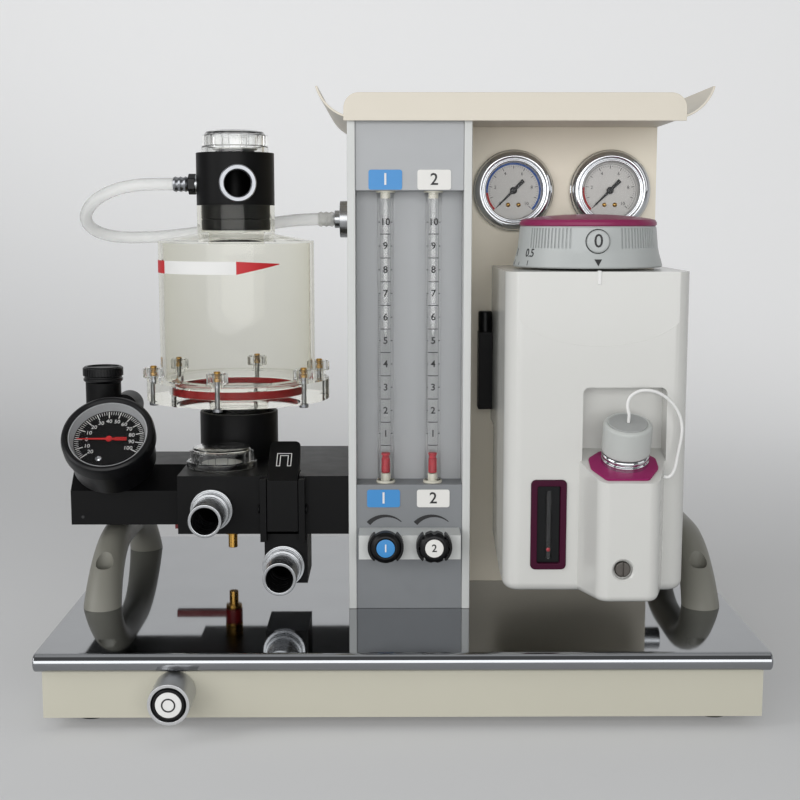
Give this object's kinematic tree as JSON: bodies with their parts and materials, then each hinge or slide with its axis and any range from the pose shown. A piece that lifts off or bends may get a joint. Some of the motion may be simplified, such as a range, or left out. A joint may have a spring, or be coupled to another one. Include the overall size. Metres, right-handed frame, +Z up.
{
  "type": "tabletop veterinary anesthesia machine",
  "caption": "Tabletop anesthesia machine: polished tray base with carrying handles, flowmeter column with shelf and gauges, vaporizer, and breathing manifold with clear absorber canister.",
  "frame": {"origin": "on the bench under the middle of the machine, level with the bottom of the rubber feet", "axes": "+X to the machine's right as seen from its front, +Y to its back, +Z up"},
  "size_m": [0.4675, 0.3454, 0.3982],
  "materials": {
    "cream_paint": "satin powder coat",
    "panel_paint": "satin powder coat",
    "polished_steel": "mirror polished",
    "grey_plastic": "satin moulded",
    "black_rubber": "matte",
    "steel": "turned",
    "bright_aluminium": "turned and polished",
    "chrome": "polished",
    "black_plastic": "satin moulded",
    "black_anodised": "black anodised",
    "silver_paint": "fine metallic lacquer",
    "white_plastic": "gloss moulded",
    "clear_acrylic": "polished clear",
    "clear_glass": "polished clear",
    "hose_plastic": "clear flexible",
    "red_plastic": "gloss moulded",
    "dial_white": "printed",
    "magenta_plastic": "satin moulded",
    "smoked_glass": "polished smoked",
    "brass": "turned",
    "red_silicone": "moulded",
    "white_cord": "braided"
  },
  "bodies": {
    "machine": {"base_chassis": "cream_paint", "floor_panel": "panel_paint", "rubber_feet": "black_rubber", "tray_top": "polished_steel", "left_handle": "grey_plastic", "right_handle": "grey_plastic", "case_screws": "steel", "flush_valve": "bright_aluminium", "column_housing": "cream_paint", "rear_panel": "panel_paint", "shelf": "cream_paint", "gas_fittings": "bright_aluminium", "flowmeter_housing": "white_plastic", "flowmeter_panel": "silver_paint", "knob_panel": "white_plastic", "knob_guards": "black_plastic", "flow_tubes": "clear_glass", "tube_seals": "steel", "gauge_cases": "chrome", "gauge_dials": "dial_white", "gauge_lenses": "clear_glass", "vaporizer_cover": "white_plastic", "vaporizer_trim": "magenta_plastic", "filler_neck": "chrome", "cap_tether": "white_cord", "sight_glass": "smoked_glass", "vaporizer_mount": "black_anodised", "manifold_bar": "black_anodised", "expiratory_block": "black_anodised", "manometer_case": "black_plastic", "apl_body": "black_anodised", "valve_domes": "clear_acrylic", "valve_head": "black_anodised", "breathing_ports": "bright_aluminium", "drain_valve": "brass", "canister_base": "clear_acrylic", "canister_gasket": "red_silicone", "canister": "clear_acrylic", "canister_collar": "black_anodised", "clamp_knobs": "clear_acrylic", "gas_hose": "hose_plastic"},
    "concentration_dial": {"dial_ring": "white_plastic", "dial_cap": "magenta_plastic"},
    "flush_button_body": {"flush_button": "black_plastic"},
    "n2o_float_body": {"n2o_float": "red_plastic"},
    "o2_float_body": {"o2_float": "red_plastic"},
    "n2o_knob_body": {"n2o_knob": "black_plastic"},
    "o2_knob_body": {"o2_knob": "black_plastic"},
    "left_gauge_pointer_body": {"left_gauge_pointer": "black_plastic"},
    "right_gauge_pointer_body": {"right_gauge_pointer": "black_plastic"},
    "manometer_pointer_body": {"manometer_pointer": "red_plastic"},
    "filler_cap_body": {"filler_cap": "white_plastic"},
    "drain_screw_body": {"drain_screw": "steel"},
    "zero_button_body": {"zero_button": "white_plastic"},
    "selector_lever_body": {"selector_lever": "black_anodised"},
    "apl_knob_body": {"apl_knob": "black_plastic"},
    "drain_lever_body": {"drain_lever": "red_plastic"},
    "inspiratory_disc_body": {"inspiratory_disc": "dial_white"},
    "expiratory_disc_body": {"expiratory_disc": "dial_white"}
  },
  "joints": [
    {"name": "flush_press", "type": "slide", "parent": "machine", "child": "flush_button_body", "axis": [0, 1, 0], "range_m": [0, 0.005], "stiffness_N_per_m": 400, "springref_m": -0.002},
    {"name": "n2o_float_rise", "type": "slide", "parent": "machine", "child": "n2o_float_body", "axis": [0, 0, 1], "range_m": [0, 0.175]},
    {"name": "o2_float_rise", "type": "slide", "parent": "machine", "child": "o2_float_body", "axis": [0, 0, 1], "range_m": [0, 0.175]},
    {"name": "n2o_knob_turn", "type": "hinge", "parent": "machine", "child": "n2o_knob_body", "pos_m": [-0.011, -0.079, 0.1], "axis": [0, 1, 0], "range_deg": [-720, 0]},
    {"name": "o2_knob_turn", "type": "hinge", "parent": "machine", "child": "o2_knob_body", "pos_m": [0.0208, -0.079, 0.1], "axis": [0, 1, 0], "range_deg": [-720, 0]},
    {"name": "left_gauge_sweep", "type": "hinge", "parent": "machine", "child": "left_gauge_pointer_body", "pos_m": [0.079, 0.0146, 0.333], "axis": [0, 1, 0], "range_deg": [0, 270], "stiffness_Nm_per_rad": 0.001, "springref_deg": -17.19},
    {"name": "right_gauge_sweep", "type": "hinge", "parent": "machine", "child": "right_gauge_pointer_body", "pos_m": [0.147, 0.0146, 0.333], "axis": [0, 1, 0], "range_deg": [0, 270], "stiffness_Nm_per_rad": 0.001, "springref_deg": -17.19},
    {"name": "manometer_sweep", "type": "hinge", "parent": "machine", "child": "manometer_pointer_body", "pos_m": [-0.1994, -0.012, 0.136], "axis": [0, 0.7071, -0.7071], "range_deg": [-40, 208], "stiffness_Nm_per_rad": 0.001},
    {"name": "dial_turn", "type": "hinge", "parent": "machine", "child": "concentration_dial", "pos_m": [0.1225, -0.052, 0.282], "axis": [0, 0, 1], "range_deg": [0, 250]},
    {"name": "zero_press", "type": "slide", "parent": "concentration_dial", "child": "zero_button_body", "axis": [0, 1, 0], "range_m": [0, 0.0025], "stiffness_N_per_m": 300, "springref_m": -0.002},
    {"name": "filler_cap_turn", "type": "hinge", "parent": "machine", "child": "filler_cap_body", "pos_m": [0.14, -0.1105, 0.16025], "axis": [0, -0.342, 0.9397], "range_deg": [0, 720]},
    {"name": "drain_screw_turn", "type": "hinge", "parent": "machine", "child": "drain_screw_body", "pos_m": [0.1365, -0.134, 0.097], "axis": [0, -1, 0], "range_deg": [0, 720]},
    {"name": "apl_turn", "type": "hinge", "parent": "machine", "child": "apl_knob_body", "pos_m": [-0.214, 0.015, 0.197], "axis": [0, 0, 1], "range_deg": [0, 300]},
    {"name": "drain_lever_turn", "type": "hinge", "parent": "machine", "child": "drain_lever_body", "pos_m": [-0.127, 0.05, 0.086], "axis": [0, 0, 1], "range_deg": [0, 90]},
    {"name": "selector_tip", "type": "hinge", "parent": "machine", "child": "selector_lever_body", "pos_m": [-0.08, -0.055, 0.1188], "axis": [1, 0, 0], "range_deg": [0, 35]},
    {"name": "inspiratory_disc_lift", "type": "slide", "parent": "machine", "child": "inspiratory_disc_body", "axis": [0, 0, 1], "range_m": [0, 0.004]},
    {"name": "expiratory_disc_lift", "type": "slide", "parent": "machine", "child": "expiratory_disc_body", "axis": [0, 0, 1], "range_m": [0, 0.004]}
  ]
}
